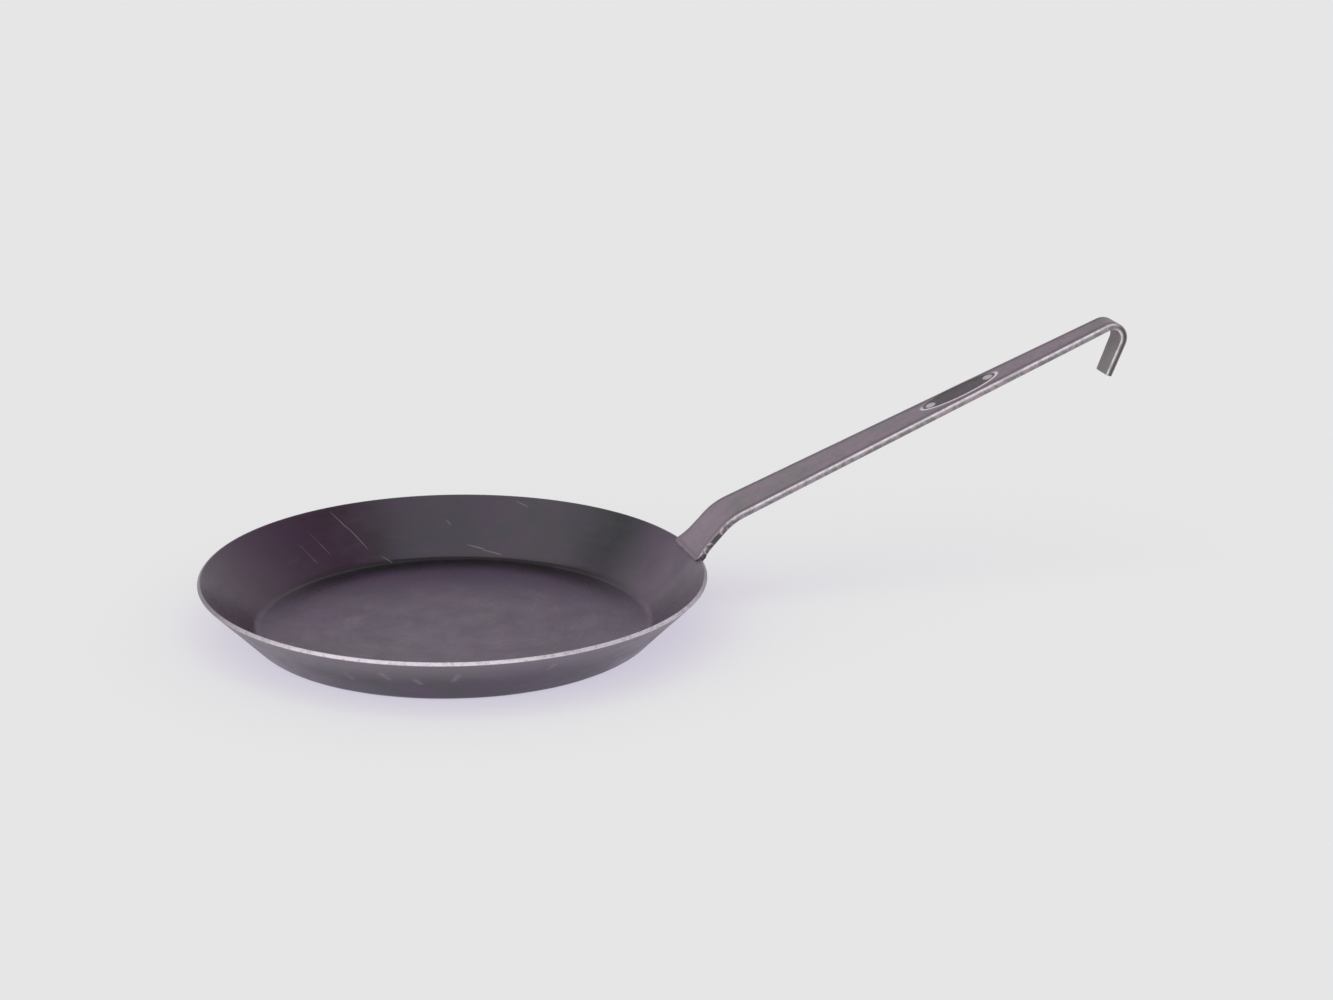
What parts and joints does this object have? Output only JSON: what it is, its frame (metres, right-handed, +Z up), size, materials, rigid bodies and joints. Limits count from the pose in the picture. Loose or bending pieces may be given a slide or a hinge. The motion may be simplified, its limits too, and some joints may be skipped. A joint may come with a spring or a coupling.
{
  "type": "iron frying pan",
  "caption": "Shallow round frying pan of sheet iron with a straight flared wall and a long flat-bar handle, welded at the rim and bent over at its end into a hanging hook.",
  "frame": {"origin": "centre of the pan's flat underside, which is what the pan rests on", "axes": "+Z up along the pan's axis, +X along the handle from the pan to the hook, +Y to the left of someone looking along the handle from the pan"},
  "size_m": [0.5381, 0.2796, 0.1447],
  "materials": {
    "pan_iron": "dark oxide, worn bright at the rim",
    "handle_iron": "dark oxide, worn bright along the edges",
    "weld_metal": "dark oxide over a weld bead"
  },
  "bodies": {
    "root": {"pan": "pan_iron", "handle": "handle_iron", "under_weld": "weld_metal", "side_welds": "weld_metal"}
  },
  "joints": []
}
